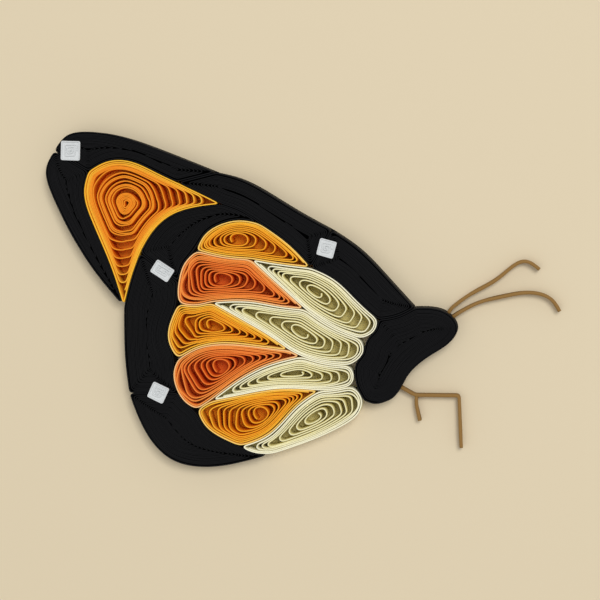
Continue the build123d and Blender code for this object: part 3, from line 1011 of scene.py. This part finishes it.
# %% [markdown]
# The three crescents of the hind wing pass the notches between the round ends of the petals. A strip
# is too stiff to follow such a notch down, so it bridges it.

# %% The black edge of the hind wing
full_coil(
    "margin_coil_upper", 31, shoulder_under[::-1], cell_hollow, margin_joint, orange_2_left, orange_1_top,
    notches=[notch_1],
)
full_coil(
    "margin_coil_middle", 33, back_edge[::-1], cell_heel, margin_joint, orange_2_heel, orange_3_left,
    orange_4_left, skirt_joint, notches=[notch_2, notch_3],
)
full_coil(
    "margin_coil_lower", 35, skirt_seam[::-1], orange_5_left, orange_4_heel, skirt_joint, skirt_edge,
    notches=[notch_4],
)

# %% [markdown]
# ## The body
# The body is the last coil on the board. It is pushed against the wings and takes their shape on one
# side, so its outline is made of their seams, and only the belly is its own.

# %% The body
body_seams = (belly_edge, arm_joint, cream_1_end, cream_2_end, cream_3_end, cream_4_top, tail_seam)
full_coil("body_coil", 37, *body_seams, notches=[root_1, root_2, root_3])

# %% [markdown]
# ## White squares
# The white dots on the black edge are tiny rolls, a few turns of white strip pressed square between
# two pairs of tweezers and set on top of the black, where they stand a little proud. A plain white
# tile would be easier, but close up the turns show as faint grey lines.


# %% Square rolls of white paper
square_step = 0.06
places_a_round = 96


def square_roll(x, y, length, width, slope, pitch, seed, turns=2.8, smallest=0.05):
    """A closed square turn, and inside it a square spiral that shrinks by one pitch every turn.

    A place on the square is the cosine and the sine of the angle, divided by the larger of the two,
    times half the sides. Turning it by the slope and adding x and y puts it on the wing.
    """
    angle = np.linspace(0, 2 * np.pi * turns, round(places_a_round * turns))
    square = np.column_stack([np.cos(angle), np.sin(angle)])
    square /= np.abs(square).max(axis=1)[:, None]
    half = np.array([length, width]) / 2 - paper / 2
    shrunk = half - pitch * (1 + angle[:, None] / (2 * np.pi))
    cosine, sine = math.cos(math.radians(slope)), math.sin(math.radians(slope))
    turned = np.array([[cosine, sine], [-sine, cosine]])
    ring = evenly(square[angle <= 2 * np.pi] * half @ turned + (x, y), square_step)[:-1]
    spiral = evenly((square * np.maximum(shrunk, smallest)) @ turned + (x, y), square_step)
    parts = []
    for path, closed in ((ring, True), (spiral, False)):
        line = soften(path, reach=1, closed=closed)
        line = np.column_stack([line, np.zeros(len(line))])
        parts.append(strip_surface(line, closed, paper, square_height, seed, drop=0.04))
    parts.append(glue_film(ring, low=0, high=0.1))
    return [(places + (0, 0, strip_width), faces, tone) for places, faces, tone in parts]


squares = (
    (-28.75, 15.3, 1.6, 1.6, -2, 0.2),
    (-7.5, 7.3, 1.4, 1.4, -15, 0.19),
    (-21.1, 5.4, 1.7, 1.2, -33, 0.18),
    (-21.5, -4.7, 1.45, 1.4, -25, 0.2),
)
for number, design in enumerate(squares, start=1):
    parts = square_roll(*design, seed=40 + number)
    roll = make_piece(f"square_roll_{number}", parts, white_paper)
    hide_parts(f"white_spot_{number}")
    print(roll.name, len(roll.data.polygons), "faces")

# %% [markdown]
# ## Antennae and legs
# These are the narrowest strips, cut from stiff brown paper and glued on edge. The antennae bend in
# a long bow with a hook at the end, made by drawing the strip over a fingernail, and the legs are
# folded at the knee. A round wire would lack the tall flat side. Each strip is led on until it beds a
# little into the body, or the rear leg into the front one.

# %% Antennae and legs
feeler_step = 0.1
bedded = 0.04
body_side = joined(*body_seams)


def up_to(route, carrier, clearance):
    """A route led on to the nearest place of a carrier, less the clearance, with softened bends."""
    away = carrier - route[-1]
    far = lengths(away)
    near = np.argmin(far)
    seat = carrier[near] - away[near] / far[near] * clearance
    line = evenly(np.vstack([route, seat]), feeler_step)
    return np.vstack([line[:1], soften(line, reach=3)[1:-1], line[-1:]])


antenna_upper_route = curve((9.75, 5.6), (8.7, 6.25), (6.6, 5.0), (4.2, 3.55), (2.65, 2.4))
antenna_lower_route = curve((11.4, 2.2), (10.8, 3.1), (8.9, 3.7), (6.9, 3.4), (4.7, 2.8), (3.2, 2.0))
leg_front_route = np.array([(3.5, -9.1), (3.3, -4.8), (-0.3, -4.8)])
leg_rear_route = np.array([(0.1, -6.9), (-0.2, -5.6)])
leg_front_line = evenly(leg_front_route, feeler_step)

for name, route, carrier, clearance in (
    ("antenna_upper", antenna_upper_route, body_side, -bedded),
    ("antenna_lower", antenna_lower_route, body_side, -bedded),
    ("leg_front", leg_front_route, body_side, -bedded),
    ("leg_rear", leg_rear_route, leg_front_line, feeler_paper / 2 - bedded),
):
    line = up_to(route, carrier, clearance)
    line = np.column_stack([line, np.zeros(len(line))])
    strip = strip_surface(line, False, feeler_paper, feeler_width, seed=len(name), lean=0.03, drop=0.03)
    piece = make_piece(f"paper_{name}", [strip], brown_paper)
    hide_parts(name)
    print(name, len(line), "steps")

# %% [markdown]
# ## Table top
# The butterfly lies on a plain pale table, a hair under the coils, because two faces at one height
# would flicker. The table belongs to the stage, so it isn't part of the butterfly.

# %% A plain pale table
table = bpy.data.meshes.new("table_top")
half, below = 2, 2e-5
corners = [(-half, -half), (half, -half), (half, half), (-half, half)]
table.from_pydata([(x, y, -below) for x, y in corners], [], [(0, 1, 2, 3)])
table_sheet = Sheet("pale_table")
table_sheet.feed(table_sheet.shader, {"Base Color": ink(0.86, 0.80, 0.68), "Roughness": 0.8})
table.materials.append(table_sheet.material)
table_top = added("table_top", table)
print("table top:", 2 * half, "m wide")

# %% [markdown]
# ## Soft light
# The main lamp stands at the upper right, so every strip throws a soft shadow to the lower left. One
# lamp would leave the gaps black, so a large weak one and a pale sky open them up. Together they reach
# a level at which paper looks as pale as its dye says.


# %% Soft light
middle = (-0.0098, 0.003)


def softbox(name, place, size, power):
    """A square lamp that faces the butterfly."""
    lamp = bpy.data.lights.new(name, "AREA")
    lamp.size = size
    lamp.energy = power
    holder = added(name, lamp)
    holder.location = place
    towards = Vector((*middle, 0)) - holder.location
    holder.rotation_euler = towards.to_track_quat("-Z", "Y").to_euler()
    print(name, power, "W")


softbox("key", (0.11, 0.14, 0.43), size=0.16, power=1.1)
softbox("fill", (-0.1, -0.06, 0.5), size=0.4, power=0.5)
world = bpy.data.worlds.new("studio")
bpy.context.scene.world = world
world.use_nodes = True
sky = world.node_tree.nodes["Background"].inputs
sky["Color"].default_value = (1, 1, 1, 1)
sky["Strength"].default_value = 0.42
bpy.context.scene.view_settings.view_transform = "Standard"

# %% [markdown]
# ## Camera
# The camera looks down from nearly straight above. A long lens keeps perspective out, so its distance
# is the width that it should see, times the lens, over the sensor.

# %% Camera, nearly straight above
seen_width = 0.0495
aim = Vector((*middle, 0.001))
back = Vector((0.11, 0.06, 1)).normalized()
camera = bpy.data.cameras.new("camera")
camera.lens = 100
camera.sensor_width = 36
camera.clip_start = 0.005
camera_holder = added("camera", camera)
across = Vector((0, 1, 0)).cross(back).normalized()
upward = back.cross(across)
facing = Matrix((across, upward, back)).transposed().to_4x4()
stand = aim + back * seen_width * camera.lens / camera.sensor_width
camera_holder.matrix_world = Matrix.Translation(stand) @ facing
bpy.context.scene.camera = camera_holder
print("camera height in mm:", round(1000 * stand.z, 1))
